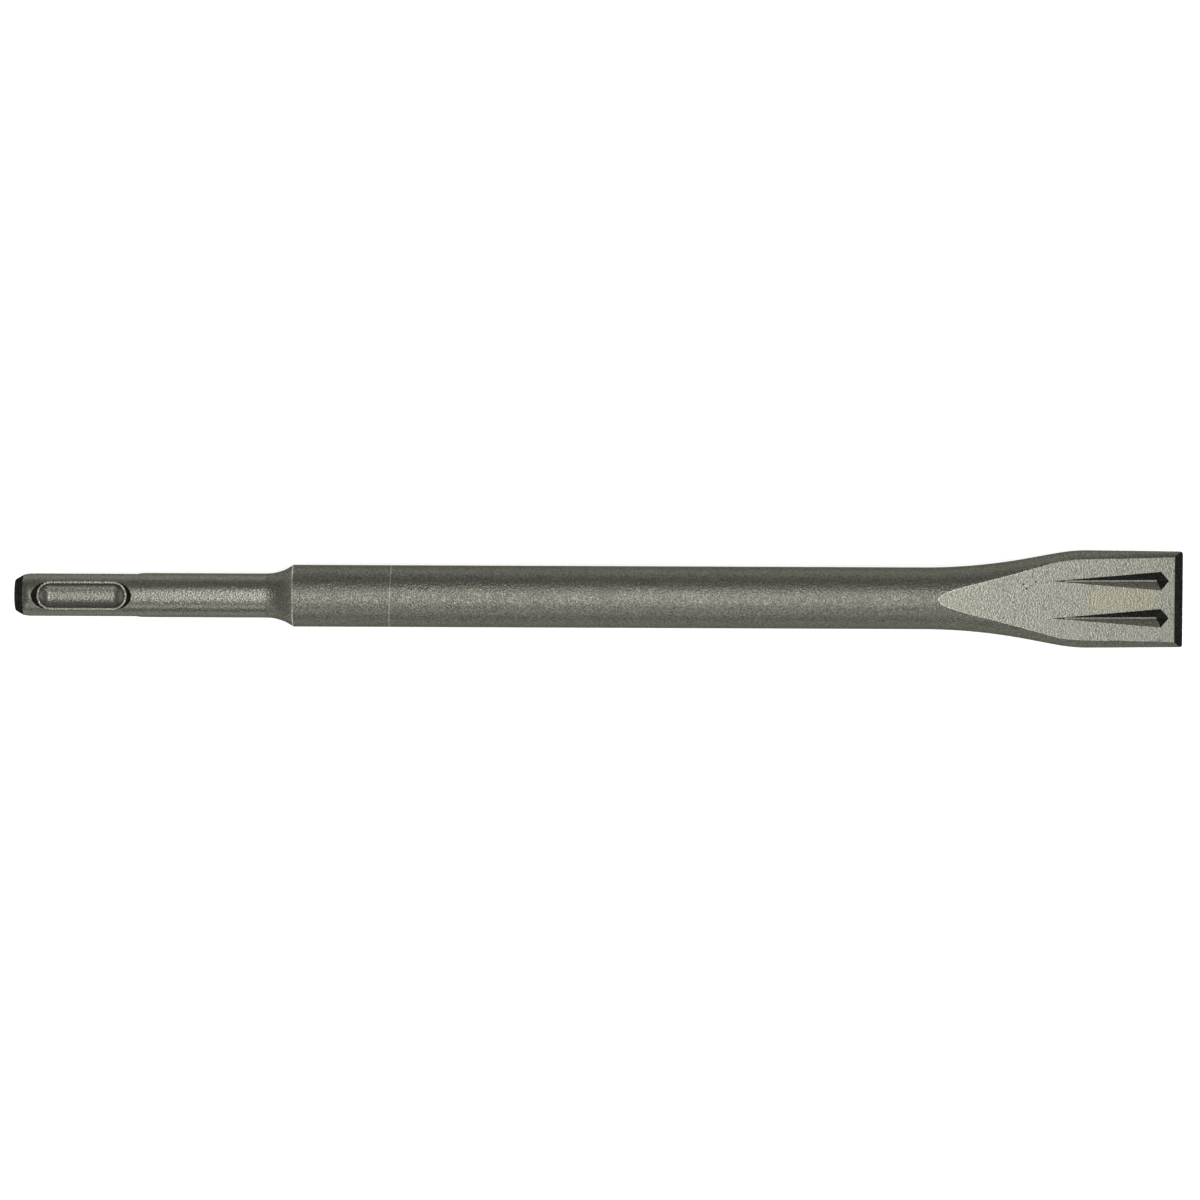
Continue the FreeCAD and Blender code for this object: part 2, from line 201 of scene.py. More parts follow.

# How closely a face looks along a surface's normal, as a cosine, and how far a face leans
# along X or rises along Z where the crest gets its painted highlight and the chamfer and the
# pockets' ends their painted shade.
FLAT_MATCH = 0.9999
FACE_MATCH = 0.9995
BEVEL_MATCH = 0.99
CREST_LEAN = -0.05
CHAMFER_STEEPEST = -0.9
CHAMFER_LEVEL = -0.3
POCKET_END_LEAN = 0.3
POCKET_END_RISE = 0.6

# The finishes, in the order of the piece's material slots.
FORGED, WORN_AND_HIGHLIGHT, PRESSED, BEVEL_PAINTED_DARK, PAINTED_SHADE, PAINTED_LIT_WALL, TURNED = range(7)

# Colours, the two limits of roughness and the strength of the grain's relief.
FINISHES = {
    FORGED: {
        "name": "forged_steel",
        "base": (0.109, 0.108, 0.089, 1),
        "light": (0.150, 0.149, 0.126, 1),
        "dark": (0.072, 0.071, 0.058, 1),
        "rough": (0.33, 0.41),
        "bump": 0.75,
    },
    # Brighter than the forged steel: partly wear and partly a painted highlight on rims, groove floors
    # and the collar's crest.
    WORN_AND_HIGHLIGHT: {
        "name": "worn_edge_and_highlight",
        "base": (0.34, 0.336, 0.298, 1),
        "light": (0.44, 0.436, 0.40, 1),
        "dark": (0.24, 0.236, 0.205, 1),
        "rough": (0.28, 0.36),
        "bump": 0.2,
    },
    PRESSED: {
        "name": "pressed_face",
        "base": (0.258, 0.254, 0.216, 1),
        "light": (0.330, 0.326, 0.281, 1),
        "dark": (0.175, 0.172, 0.143, 1),
        "rough": (0.36, 0.46),
        "bump": 0.45,
    },
    # Near-black: painted shade for the dark that the ground bevel reflects.
    BEVEL_PAINTED_DARK: {
        "name": "ground_bevel_painted_dark",
        "base": (0.012, 0.012, 0.012, 1),
        "light": (0.025, 0.025, 0.024, 1),
        "dark": (0.006, 0.006, 0.006, 1),
        "rough": (0.3, 0.4),
        "bump": 0.16,
    },
    # Near-black painted shade on the chamfer, the pockets' ends, the groove walls facing -Y and the
    # grooves' noses.
    PAINTED_SHADE: {
        "name": "painted_shade",
        "base": (0.014, 0.014, 0.012, 1),
        "light": (0.03, 0.03, 0.027, 1),
        "dark": (0.007, 0.007, 0.006, 1),
        "rough": (0.4, 0.5),
        "bump": 0.24,
    },
    # The groove walls facing +Y: a warm tone painted lighter as the side that catches the light.
    PAINTED_LIT_WALL: {
        "name": "painted_lit_groove_wall",
        "base": (0.182, 0.172, 0.140, 1),
        "light": (0.245, 0.233, 0.194, 1),
        "dark": (0.108, 0.101, 0.080, 1),
        "rough": (0.34, 0.44),
        "bump": 0.4,
    },
    TURNED: {
        "name": "turned_shank",
        "base": (0.127, 0.126, 0.106, 1),
        "light": (0.160, 0.159, 0.136, 1),
        "dark": (0.090, 0.089, 0.074, 1),
        "rough": (0.27, 0.33),
        "bump": 0.5,
    },
}

# The tint of every steel's reflection at a grazing angle.
EDGE_TINT = (0.4, 0.4, 0.38, 1)

# The grain's size in millimetres and its depth, the other layers' rates beside the finest,
# and their shares of its relief.
GRAIN_SIZE = 0.36
GRAIN_DEPTH = 0.14 * MM
MEDIUM_RATE = 0.42
COARSE_RATE = 0.28
CLOUD_RATE = 0.05
DENT_RATE = 0.8
MEDIUM_RELIEF = 0.2
DENT_RELIEF = 0.35
NOISE_ROUGHNESS = 0.55

# How much of each mark shows in the colour, the scratches' spacing in millimetres, how much
# finer their patches are, the streaks' stretch and rate, and how much smoother a speck is.
CLOUD_SHARE = 0.2
SPECK_SHARE = 0.6
PIT_SHARE = 0.5
STREAK_SHARE = 0.25
SCRATCH_SHARE = 0.35
SCRATCH_SPACING = 5.0
SCRATCH_PATCH_RATE = 1.3
STREAK_STRETCH = (0.05, 1.0, 1.0)
STREAK_RATE = 1800.0
SPECK_SHINE = 0.1

# A faint warm stain between the two upper grooves.
STAIN_CENTRE = (250.2 * MM, 0.0, 0.0)
STAIN_HALF = (8.4 * MM, 2.6 * MM, 1.0)
STAIN_COLOUR = (0.31, 0.287, 0.20, 1)
STAIN_SHARE = 0.5
STAIN_FADE = 0.6
STAIN_PATCH_RATE = 1600.0

# The table's size, its two pale tones and how strongly it glows to the camera and in
# reflections.
TABLE_SIZE = 20.0
TABLE_DARK = (0.86, 0.86, 0.86, 1)
TABLE_LIGHT = (0.90, 0.90, 0.90, 1)
TABLE_PATCH_RATE = 6.0
TABLE_ROUGHNESS = 0.85
TABLE_GLOW = 0.45
WHITE = (1.0, 1.0, 1.0, 1)

# Each soft lamp's place, its two sides and its power in watts, and the light of the room.
LAMPS = {
    "overhead_box": {"place": (0.16, 0.0, 1.50), "size": (1.9, 0.42), "power": 17.6},
    "near_strip": {"place": (0.13, -1.08, 0.66), "size": (1.5, 0.26), "power": 4.4},
    "far_panel": {"place": (0.13, 1.40, 0.80), "size": (2.0, 1.4), "power": 2.0},
    "struck_end_panel": {"place": (-1.10, 0.0, 0.45), "size": (1.6, 0.8), "power": 3.6},
    "edge_end_panel": {"place": (1.40, 0.0, 0.45), "size": (1.6, 0.8), "power": 3.6},
}
ROOM_LIGHT = 0.31

# The camera's lens and sensor in millimetres, the width of its frame at the chisel, the point
# that it looks at, and its turn and lean from looking straight down.
LENS = 155.0
SENSOR_WIDTH = 36.0
FRAME_WIDTH = 271.5 * MM
CAMERA_TARGET = (132.17 * MM, -0.69 * MM, 0)
CAMERA_TURN = math.radians(0.24)
CAMERA_LEAN = math.radians(-3.0)


def face_height(x):
    return BEVEL_HALF + (BEVEL_X - x) * FACE_SLOPE


def arc(centre_x, centre_y, radius, start, end, steps):
    """Points along an arc, both ends included; angles in degrees."""
    turns = [math.radians(start + (end - start) * i / steps) for i in range(steps + 1)]
    return [(centre_x + radius * math.cos(t), centre_y + radius * math.sin(t)) for t in turns]


def mesh_object(name, bm):
    mesh = bpy.data.meshes.new(name)
    bm.to_mesh(mesh)
    bm.free()
    thing = bpy.data.objects.new(name, mesh)
    bpy.context.scene.collection.objects.link(thing)
    return thing


def bar_profile():
    """Half outline of the round bar, from the struck face's centre to the neck."""
    chamfer_rise = SHANK_R - LEAD_DROP - END_FACE_R
    lean = math.atan2(chamfer_rise, CHAMFER_LENGTH)
    reach = END_ROUNDING * math.tan((math.pi / 2 - lean) / 2)
    collar_turn = math.degrees(math.asin((COLLAR_X - SHANK_LENGTH) / COLLAR_R))
    crest_reach = CREST_R * math.tan(math.radians(collar_turn) / 2)
    half_witness = WITNESS_WIDTH / 2

    points = [(0.0, 0.0), (0.0, END_FACE_R * 0.5)]
    last_turn = 90 + math.degrees(lean)
    points += arc(END_ROUNDING, END_FACE_R - reach, END_ROUNDING, 180, last_turn, ROUNDING_STEPS)
    points.append((CHAMFER_LENGTH, SHANK_R - LEAD_DROP))
    points.append((CHAMFER_LENGTH + LEAD_LENGTH, SHANK_R))
    points += [(x * MM, SHANK_R) for x in SHANK_RINGS]
    collar_centre = SHANK_R + COLLAR_R
    points += arc(SHANK_LENGTH, collar_centre, COLLAR_R, -90, collar_turn - 90, COLLAR_STEPS)[:-1]
    crest_x = COLLAR_X + crest_reach
    points += arc(crest_x, BODY_R - CREST_R, CREST_R, 90 + collar_turn, 90, CREST_STEPS)
    points += [(x * MM, BODY_R) for x in COLLAR_RINGS]
    points.append((WITNESS_X - half_witness, BODY_R))
    points.append((WITNESS_X, BODY_R - WITNESS_DEPTH))
    points.append((WITNESS_X + half_witness, BODY_R))
    points += [(x * MM, BODY_R) for x in BODY_RINGS]
    points.append((NECK_X, BODY_R))
    return points


def blank_section(x):
    """Half width and half height of the oval blank at a place along the blade."""
    if x < FLARE_X:
        width = BODY_R + NECK_R - math.sqrt(NECK_R**2 - (x - NECK_X) ** 2)
        share = (x - NECK_X) / (FLARE_X - NECK_X)
        full = (BODY_R + SHOULDER_HALF_HEIGHT) / 2 - BODY_R
        return width, BODY_R - NECK_THINNING * 4 * share * (1 - share) + full * share**3
    if x < SHOULDER_X:
        width = BLADE_HALF - SHOULDER_R * (1 - math.cos(FLARE)) - (SHOULDER_X - x) * math.tan(FLARE)
        share = (x - FLARE_X) / (SHOULDER_X - FLARE_X)
        first = (BODY_R + SHOULDER_HALF_HEIGHT) / 2
        return width, first + (SHOULDER_HALF_HEIGHT - first) * share
    fall = (x - SHOULDER_X) / (LENGTH - SHOULDER_X)
    height = SHOULDER_HALF_HEIGHT - (SHOULDER_HALF_HEIGHT - EDGE_HALF_HEIGHT) * fall
    if x < WIDE_X:
        return BLADE_HALF - SHOULDER_R + math.sqrt(SHOULDER_R**2 - (WIDE_X - x) ** 2), height
    taper = (x - WIDE_X) / PARALLEL
    return BLADE_HALF - (BLADE_HALF - EDGE_HALF) * taper, height


def turned_bar(bm):
    """The bar's outline spun about the axis; returns the open ring of edges at the neck."""
    places = [bm.verts.new((x, 0, radius)) for x, radius in bar_profile()]
    edges = [bm.edges.new(pair) for pair in zip(places, places[1:])]
    bmesh.ops.spin(
        bm, geom=places + edges, cent=(0, 0, 0), axis=(1, 0, 0),
        angle=2 * math.pi, steps=TURN_STEPS, use_merge=True,
    )
    bmesh.ops.remove_doubles(bm, verts=bm.verts, dist=WELD)
    for vert in bm.verts:
        if abs(vert.co.x - WITNESS_X) < WITNESS_WIDTH:
            vert.co.x += vert.co.y * WITNESS_SLANT
    return [edge for edge in bm.edges if all(abs(v.co.x - NECK_X) < NEAR for v in edge.verts)]


def forged_blank(bm, ring):
    """Draws the neck's ring out into the blade, one oval after another, and closes the end."""
    x, width, height = NECK_X, BODY_R, BODY_R
    for i in range(1, BLADE_STEPS + 1):
        following = NECK_X + (LENGTH - NECK_X) * i / BLADE_STEPS
        new_width, new_height = blank_section(following)
        grown = bmesh.ops.extrude_edge_only(bm, edges=ring)["geom"]
        verts = [item for item in grown if isinstance(item, bmesh.types.BMVert)]
        fresh = set(verts)
        ring = [e for e in grown if isinstance(e, bmesh.types.BMEdge) and set(e.verts) <= fresh]
        bmesh.ops.scale(bm, vec=(1, new_width / width, new_height / height), verts=verts)
        bmesh.ops.translate(bm, vec=(following - x, 0, 0), verts=verts)
        x, width, height = following, new_width, new_height
    bmesh.ops.contextual_create(bm, geom=ring)


def slice_off(bm, point, normal):
    """Cuts away what stands beyond a plane and closes the cut."""
    whole = bm.verts[:] + bm.edges[:] + bm.faces[:]
    made = bmesh.ops.bisect_plane(
        bm, geom=whole, plane_co=point, plane_no=normal, clear_outer=True, dist=SEAM,
    )
    edges = [item for item in made["geom_cut"] if isinstance(item, bmesh.types.BMEdge)]
    bmesh.ops.contextual_create(bm, geom=edges)


def face_normal(side):
    return Vector((FACE_SLOPE, 0, side)).normalized()


def bevel_normal(side):
    return Vector((BEVEL_SLOPE, 0, side)).normalized()


def flat_faces(bm):
    for side in (1, -1):
        slice_off(bm, (BEVEL_X, 0, side * BEVEL_HALF), face_normal(side))
    for side in (1, -1):
        slice_off(bm, (BEVEL_X, 0, side * BEVEL_HALF), bevel_normal(side))


def worn_cutting_edge(bm):
    """Leaves the cutting edge slightly ragged."""
    land = [
        edge for edge in bm.edges
        if edge.calc_length() > EDGE_HALF and all(v.co.x > LENGTH - NEAR for v in edge.verts)
    ]
    bmesh.ops.subdivide_edges(bm, edges=land, cuts=EDGE_WEAR_CUTS)
    for vert in bm.verts:
        if vert.co.x > LENGTH - NEAR:
            place = Vector((0, vert.co.y / EDGE_WEAR_SPACING, 0))
            broad = noise.noise(place)
            fine = noise.noise(place * FINE_WEAR_RATE)
            vert.co.x -= EDGE_WEAR * max(0.0, 0.5 + 0.5 * broad + FINE_WEAR_SHARE * fine)


def face_rims(bm):
    """A narrow rim all round each flat face, where the dies met the bar, in the worn-edge colour: partly
    wear and partly a painted highlight.
    """
    for side in (1, -1):
        level = [face for face in bm.faces if face.normal.dot(face_normal(side)) > FLAT_MATCH]
        flat = max(level, key=lambda face: face.calc_area())
        rim = bmesh.ops.bevel(
            bm, geom=flat.edges[:], offset=RIM_WIDTH, segments=1,
            affect="EDGES", profile=0.5, material=-1,
        )
        for face in rim["faces"]:
            face.material_index = WORN_AND_HIGHLIGHT


def edge_corners(bm):
    """Rounds the cutting edge's two corners in plan with a few narrow cuts."""
    for side in (1, -1):
        for degrees in CORNER_CUTS:
            turn = math.radians(degrees)
            normal = Vector((math.cos(turn), side * math.sin(turn), 0))
            centre = Vector((LENGTH - CORNER_R, side * (EDGE_HALF - CORNER_R), 0))
            slice_off(bm, centre + normal * CORNER_R, normal)


def groove_cutter(side, face):
    """A kite on the face drawn down to its deepest point, made taller than the face."""
    y = side * GROOVE_Y
    widest_x = NOSE_X - GROOVE_NOSE
    corners = [(TIP_X, y), (widest_x, y - GROOVE_HALF), (NOSE_X, y), (widest_x, y + GROOVE_HALF)]
    bm = bmesh.new()
    mouth = [bm.verts.new((x, across, face_height(x))) for x, across in corners]
    deepest = bm.verts.new((DEEP_X, y, face_height(DEEP_X) - GROOVE_DEPTH))
    bm.faces.new(mouth)
    for i, corner in enumerate(mouth):
        bm.faces.new((corner, mouth[(i + 1) % 4], deepest))
    place = Matrix.Translation(-deepest.co)
    growth = Vector((1, 1, 1)) * GROOVE_CUTTER_GROWTH
    bmesh.ops.scale(bm, vec=growth, verts=bm.verts, space=place)
    bmesh.ops.scale(bm, vec=(1, 1, face), verts=bm.verts)
    bmesh.ops.recalc_face_normals(bm, faces=bm.faces)
    return mesh_object("groove_cutter", bm)


def groove_floor_cutter(side, face):
    """The narrow flat along the bottom of a V groove, which starts a little way in from its tip."""
    start_x = TIP_X + GROOVE_FLOOR_SETBACK
    start_depth = GROOVE_DEPTH * GROOVE_FLOOR_SETBACK / (DEEP_X - TIP_X)
    outline = [
        (start_x, face_height(start_x) - start_depth),
        (DEEP_X, face_height(DEEP_X) - GROOVE_DEPTH - GROOVE_FLOOR_DROP),
        (DEEP_X, face_height(DEEP_X) + FLOOR_CUTTER_RISE),
        (start_x, face_height(start_x) + FLOOR_CUTTER_RISE),
    ]
    near = side * GROOVE_Y - GROOVE_FLOOR_WIDTH / 2
    bm = bmesh.new()
    profile = bm.faces.new([bm.verts.new((x, near, face * z)) for x, z in outline])
    grown = bmesh.ops.extrude_face_region(bm, geom=[profile])["geom"]
    verts = [item for item in grown if isinstance(item, bmesh.types.BMVert)]
    bmesh.ops.translate(bm, vec=(0, GROOVE_FLOOR_WIDTH, 0), verts=verts)
    bmesh.ops.recalc_face_normals(bm, faces=bm.faces)
    return mesh_object("groove_floor_cutter", bm)


def keyway_cutter(side):
    """Open slot with a level floor that rises to the shank in an S."""
    floor = SHANK_R - KEYWAY_DEPTH
    level_end = KEYWAY_LENGTH - KEYWAY_RUNOUT
    bend = (KEYWAY_RUNOUT**2 + KEYWAY_DEPTH**2) / (4 * KEYWAY_DEPTH)
    turn = math.degrees(math.asin(KEYWAY_RUNOUT / 2 / bend))
    clear = SHANK_R + KEYWAY_DEPTH
    outline = [(-KEYWAY_WIDTH, floor)]
    outline += arc(level_end, floor + bend, bend, -90, turn - 90, RUNOUT_STEPS)
    outline += arc(KEYWAY_LENGTH, SHANK_R - bend, bend, 90 + turn, 90, RUNOUT_STEPS)[1:]
    outline += [(KEYWAY_LENGTH, clear), (-KEYWAY_WIDTH, clear)]
    bm = bmesh.new()
    corners = [bm.verts.new((x, side * y, -KEYWAY_WIDTH / 2)) for x, y in outline]
    face = bm.faces.new(corners)
    grown = bmesh.ops.extrude_face_region(bm, geom=[face])["geom"]
    verts = [item for item in grown if isinstance(item, bmesh.types.BMVert)]
    bmesh.ops.translate(bm, vec=(0, 0, KEYWAY_WIDTH), verts=verts)
    bmesh.ops.recalc_face_normals(bm, faces=bm.faces)
    return mesh_object("keyway_cutter", bm)


def stretch(bm, length):
    """Pulls a round shape out along X by moving its forward half."""
    ahead = [vert for vert in bm.verts if vert.co.x > 0]
    bmesh.ops.translate(bm, vec=(length, 0, 0), verts=ahead)


def seat_cutter(face):
    """Stadium rim of the locking pocket, with walls that open outwards at 45 degrees."""
    run = POCKET_LENGTH - 2 * POCKET_R
    rim_z = math.sqrt(SHANK_R**2 - POCKET_R**2)
    tall = SHANK_R - rim_z + CUTTER_RISE
    bm = bmesh.new()
    half_step = Matrix.Rotation(math.pi / POCKET_STEPS, 4, "Z")
    bmesh.ops.create_circle(
        bm, cap_ends=True, segments=POCKET_STEPS, radius=POCKET_R, matrix=half_step,
    )
    grown = bmesh.ops.extrude_face_region(bm, geom=bm.faces[:])["geom"]
    verts = [item for item in grown if isinstance(item, bmesh.types.BMVert)]
    spread = (POCKET_R + tall) / POCKET_R
    bmesh.ops.scale(bm, vec=(spread, spread, 1), verts=verts)
    bmesh.ops.translate(bm, vec=(0, 0, tall), verts=verts)
    stretch(bm, run)
    bmesh.ops.translate(bm, vec=(POCKET_START + POCKET_R, 0, rim_z), verts=bm.verts)
    bmesh.ops.scale(bm, vec=(1, 1, face), verts=bm.verts)
    bmesh.ops.recalc_face_normals(bm, faces=bm.faces)
    return mesh_object("seat_cutter", bm)


def channel_cutter(face):
    """The locking ball's path: a ball drawn out along the shank."""
    run = POCKET_LENGTH - 2 * POCKET_R
    bm = bmesh.new()
    lying = Matrix.Rotation(math.pi / 2, 4, "Y")
    bmesh.ops.create_uvsphere(
        bm, u_segments=POCKET_STEPS, v_segments=CHANNEL_STEPS, radius=CHANNEL_R, matrix=lying,
    )
    stretch(bm, run)
    height = SHANK_R - CHANNEL_DEPTH + CHANNEL_R
    bmesh.ops.translate(bm, vec=(POCKET_START + POCKET_R, 0, height), verts=bm.verts)
    bmesh.ops.scale(bm, vec=(1, 1, face), verts=bm.verts)
    bmesh.ops.recalc_face_normals(bm, faces=bm.faces)
    return mesh_object("channel_cutter", bm)


def pit_cutter(x, y, radius):
    """A shallow uneven dish in the upper face: a dented ball, flattened and sunk a little way in."""
    bm = bmesh.new()
    bmesh.ops.create_icosphere(bm, subdivisions=3, radius=radius)
    for vert in bm.verts:
        dent = noise.noise(vert.co * PIT_DENT_RATE / radius + Vector((x, y, 0)) / MM)
        vert.co *= 1 + PIT_DENTS * dent
    bmesh.ops.scale(bm, vec=(PIT_STRETCH, 1, 2 * PIT_DEPTH / radius), verts=bm.verts)
    bmesh.ops.translate(bm, vec=(x, y, face_height(x) + PIT_LIFT * PIT_DEPTH), verts=bm.verts)
    return mesh_object("pit_cutter", bm)


def nick_cutter():
    """A short scuff struck into the upper flank: a flattened ball laid along the flank."""
    width, height = blank_section(NICK_X)
    level = height * math.sqrt(1 - (NICK_Y / width) ** 2)
    lean = math.atan2(level / height**2, NICK_Y / width**2)
    bm = bmesh.new()
    bmesh.ops.create_icosphere(bm, subdivisions=3, radius=NICK_R)
    bmesh.ops.scale(bm, vec=NICK_FORM, verts=bm.verts)
    bmesh.ops.rotate(bm, matrix=Matrix.Rotation(NICK_TURN, 3, "Z"), verts=bm.verts)
    bmesh.ops.rotate(bm, matrix=Matrix.Rotation(lean - math.pi / 2, 3, "X"), verts=bm.verts)
    bmesh.ops.translate(bm, vec=(NICK_X, NICK_Y, level + NICK_LIFT), verts=bm.verts)
    return mesh_object("nick_cutter", bm)


def close_seams(mesh):
    """Merges points that a cut left almost on top of each other."""
    bm = bmesh.new()
    bm.from_mesh(mesh)
    bmesh.ops.remove_doubles(bm, verts=bm.verts, dist=SEAM)
    bmesh.ops.dissolve_degenerate(bm, edges=bm.edges, dist=SEAM)
    bm.to_mesh(mesh)
    bm.free()


def cut_with(piece, cutters):
    """Takes the cutters' shapes out of the piece and removes them."""
    for cutter in cutters:
        step = piece.modifiers.new("cut", "BOOLEAN")
        step.operation = "DIFFERENCE"
        step.solver = "EXACT"
        step.object = cutter
    depsgraph = bpy.context.evaluated_depsgraph_get()
    mesh = bpy.data.meshes.new_from_object(piece.evaluated_get(depsgraph))
    piece.modifiers.clear()
    piece.data = mesh
    close_seams(mesh)
    for cutter in cutters:
        bpy.data.objects.remove(cutter, do_unlink=True)


def finish_at(place, normal):
    """The material slot of a face of the chisel, from where it is and which way it looks, which also
    decides where painted shade and painted highlights go.
    """
    side = 1 if place.z > 0 else -1
    if place.x > NECK_X:
        # The ground bevel gets a near-black colour, painted shade for the dark it reflects.
        if normal.dot(bevel_normal(side)) > BEVEL_MATCH and place.x > BEVEL_X:
            return BEVEL_PAINTED_DARK
        # Faces parallel to a flat face but sunk below it, the groove floors, get the worn-edge colour as
        # a painted highlight.
        if normal.dot(face_normal(side)) > FACE_MATCH:
            return PRESSED if abs(abs(place.z) - face_height(place.x)) < SKIN else WORN_AND_HIGHLIGHT
        off_middle = abs(abs(place.y) - GROOVE_Y)
        in_groove = off_middle < GROOVE_HALF and TIP_X < place.x < NOSE_X
        if in_groove and face_height(place.x) - abs(place.z) > SKIN:
            # The rest of the narrow groove floor gets the same painted highlight.
            if off_middle < GROOVE_FLOOR_WIDTH / 2:
                return WORN_AND_HIGHLIGHT
            # Groove walls facing +Y are painted lighter; those facing -Y and the noses' facets are
            # painted shade.
            return PAINTED_LIT_WALL if normal.y > 0 and place.x < DEEP_X else PAINTED_SHADE
    if abs(place.x - WITNESS_X - place.y * WITNESS_SLANT) < WITNESS_WIDTH / 2:
        return PRESSED
    # A thin band at the collar's crest gets the worn-edge colour as a painted highlight.
    if -CREST_LEAD < place.x - COLLAR_X < CREST_LINE and normal.x < CREST_LEAN:
        return WORN_AND_HIGHLIGHT
    # The struck end's chamfer is painted shade.
    if place.x < CHAMFER_LENGTH and CHAMFER_STEEPEST < normal.x < CHAMFER_LEVEL:
        return PAINTED_SHADE
    rim_z = math.sqrt(SHANK_R**2 - POCKET_R**2)
    if place.x < POCKET_START + POCKET_LENGTH + SHANK_R and abs(place.z) > rim_z + SKIN:
        # The pockets' steep ends are painted shade.
        if abs(normal.x) > POCKET_END_LEAN and abs(normal.z) > POCKET_END_RISE:
            return PAINTED_SHADE
    return TURNED if place.x < SHANK_LENGTH else FORGED


def give_finishes(mesh):
    for face in mesh.polygons:
        if face.material_index != WORN_AND_HIGHLIGHT:
            face.material_index = finish_at(face.center, face.normal)
        face.use_smooth = face.material_index not in (PRESSED, BEVEL_PAINTED_DARK, PAINTED_LIT_WALL)


def build_chisel():
    bm = bmesh.new()
    ring = turned_bar(bm)
    forged_blank(bm, ring)
    bmesh.ops.recalc_face_normals(bm, faces=bm.faces)
    flat_faces(bm)
    edge_corners(bm)
    bmesh.ops.recalc_face_normals(bm, faces=bm.faces)
    worn_cutting_edge(bm)
    face_rims(bm)
    piece = mesh_object("chisel", bm)
    for slot in FINISHES:
        piece.data.materials.append(None)
    corners = [(side, face) for side in (1, -1) for face in (1, -1)]
    cutters = [groove_cutter(side, face) for side, face in corners]
    cutters += [groove_floor_cutter(side, face) for side, face in corners]
    cutters += [keyway_cutter(side) for side in (1, -1)]
    cutters += [seat_cutter(face) for face in (1, -1)]
    cutters += [channel_cutter(face) for face in (1, -1)]
    cut_with(piece, cutters)
    give_finishes(piece.data)
    cut_with(piece, [pit_cutter(*pit) for pit in PITS] + [nick_cutter()])
    piece.data.set_sharp_from_angle(angle=SHARP_ANGLE)
    even = piece.modifiers.new("even_normals", "WEIGHTED_NORMAL")
    even.keep_sharp = True
    return piece


class Nodes:
    """Adds nodes to a tree and joins them in one call each."""

    def __init__(self, tree):
        self.tree = tree

    def add(self, kind, settings=None, **inputs):
        node = self.tree.nodes.new(kind)
        for key, value in (settings or {}).items():
            setattr(node, key, value)
        for key, value in inputs.items():
            self.feed(node.inputs[key.replace("_", " ")], value)
        return node

    def feed(self, socket, value):
        if isinstance(value, bpy.types.NodeSocket):
            self.tree.links.new(value, socket)
        else:
            socket.default_value = value

    def math(self, operation, first, second, clamp=False):
        node = self.add("ShaderNodeMath", {"operation": operation, "use_clamp": clamp})
        self.feed(node.inputs[0], first)
        self.feed(node.inputs[1], second)
        return node.outputs[0]

    def noise(self, place, scale, detail):
        node = self.add("ShaderNodeTexNoise", Vector=place, Scale=scale, Detail=detail)
        node.inputs["Roughness"].default_value = NOISE_ROUGHNESS
        return node.outputs["Fac"]

    def window(self, value, low, high):
        """0 at low, 1 at high, smooth between; low may be the larger of the two."""
        settings = {"interpolation_type": "SMOOTHSTEP"}
        node = self.add("ShaderNodeMapRange", settings, Value=value, From_Min=low, From_Max=high)
        return node.outputs["Result"]

    def blend(self, share, first, second):
        node = self.add("ShaderNodeMix", {"data_type": "RGBA"})
        self.feed(node.inputs[0], share)
        self.feed(node.inputs[6], first)
        self.feed(node.inputs[7], second)
        return node.outputs[2]


def new_group(name, inputs, outputs):
    group = bpy.data.node_groups.new(name, "ShaderNodeTree")
    for title, kind in inputs:
        group.interface.new_socket(title, in_out="INPUT", socket_type=kind)
    for title, kind in outputs:
        group.interface.new_socket(title, in_out="OUTPUT", socket_type=kind)
    nodes = Nodes(group)
    return nodes, nodes.add("NodeGroupInput"), nodes.add("NodeGroupOutput")


def blasted_grain():
    """Fine peened grain of shot-blasted steel: a height, bright specks and dark pits."""
    nodes, given, result = new_group(
        "blasted_grain",
        [("Place", "NodeSocketVector"), ("Grain", "NodeSocketFloat")],
        [("Height", "NodeSocketFloat"), ("Specks", "NodeSocketFloat"), ("Pits", "NodeSocketFloat"),
         ("Cloud", "NodeSocketFloat"), ("Tone", "NodeSocketFloat")],
    )
    place = given.outputs["Place"]
    scale = nodes.math("DIVIDE", 1000.0, given.outputs["Grain"])
    fine = nodes.noise(place, scale, detail=1.5)
    medium = nodes.noise(place, nodes.math("MULTIPLY", scale, MEDIUM_RATE), detail=2.0)
    coarse = nodes.noise(place, nodes.math("MULTIPLY", scale, COARSE_RATE), detail=3.0)
    cloud = nodes.noise(place, nodes.math("MULTIPLY", scale, CLOUD_RATE), detail=3.0)
    dents = nodes.add("ShaderNodeTexVoronoi", {"feature": "SMOOTH_F1"}, Vector=place)
    nodes.feed(dents.inputs["Scale"], nodes.math("MULTIPLY", scale, DENT_RATE))
    height = nodes.math("ADD", fine, nodes.math("MULTIPLY", medium, MEDIUM_RELIEF))
    dented = nodes.math("MULTIPLY", dents.outputs["Distance"], DENT_RELIEF)
    height = nodes.math("ADD", height, dented)
    nodes.feed(result.inputs["Height"], height)
    nodes.feed(result.inputs["Tone"], nodes.window(fine, low=0.36, high=0.64))
    nodes.feed(result.inputs["Specks"], nodes.window(fine, low=0.62, high=0.74))
    nodes.feed(result.inputs["Pits"], nodes.window(coarse, low=0.38, high=0.28))
    nodes.feed(result.inputs["Cloud"], cloud)
    return nodes.tree


